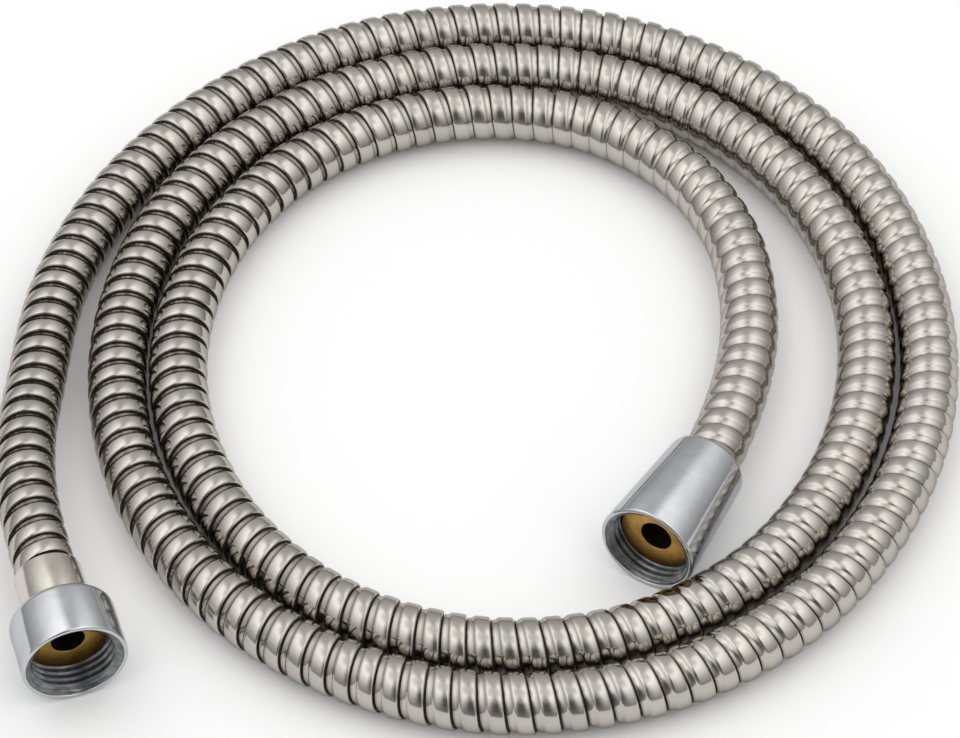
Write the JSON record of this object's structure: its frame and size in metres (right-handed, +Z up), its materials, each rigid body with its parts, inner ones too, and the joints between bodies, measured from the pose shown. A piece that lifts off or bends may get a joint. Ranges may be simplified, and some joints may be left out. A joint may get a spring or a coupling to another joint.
{
  "type": "shower hose",
  "caption": "Flexible metal shower hose coiled flat, with a short round nut at the mixer end and a cone nut at the handset end.",
  "frame": {"origin": "on the floor under the middle of the coiled hose's box", "axes": "+Z up from the floor the hose lies on, +Y away from the side where the two nuts' mouths point, +X to the right"},
  "size_m": [0.2262, 0.2305, 0.024],
  "materials": {
    "hose_steel": "polished stainless strip, interlocked, warm grey",
    "liner_rubber": "matt black liner",
    "nut_chrome": "bright chrome plate",
    "tail_brass": "bare turned brass, darkened",
    "ferrule_nickel": "satin nickel"
  },
  "bodies": {
    "hose": {"steel_hose": "hose_steel", "inner_hose": "liner_rubber", "mixer_tail": "tail_brass", "mixer_ferrule": "ferrule_nickel", "handset_tail": "tail_brass", "handset_ferrule": "ferrule_nickel"},
    "mixer_nut": {"mixer_nut": "nut_chrome"},
    "handset_nut": {"handset_nut": "nut_chrome"}
  },
  "joints": [
    {"name": "mixer_nut_spin", "type": "hinge", "parent": "hose", "child": "mixer_nut", "pos_m": [-0.09178, -0.09473, 0.012], "axis": [0.311, -0.9504, 0], "continuous": true},
    {"name": "handset_nut_spin", "type": "hinge", "parent": "hose", "child": "handset_nut", "pos_m": [0.03909, -0.06451, 0.01128], "axis": [-0.4883, -0.8704, 0.0637], "continuous": true}
  ]
}
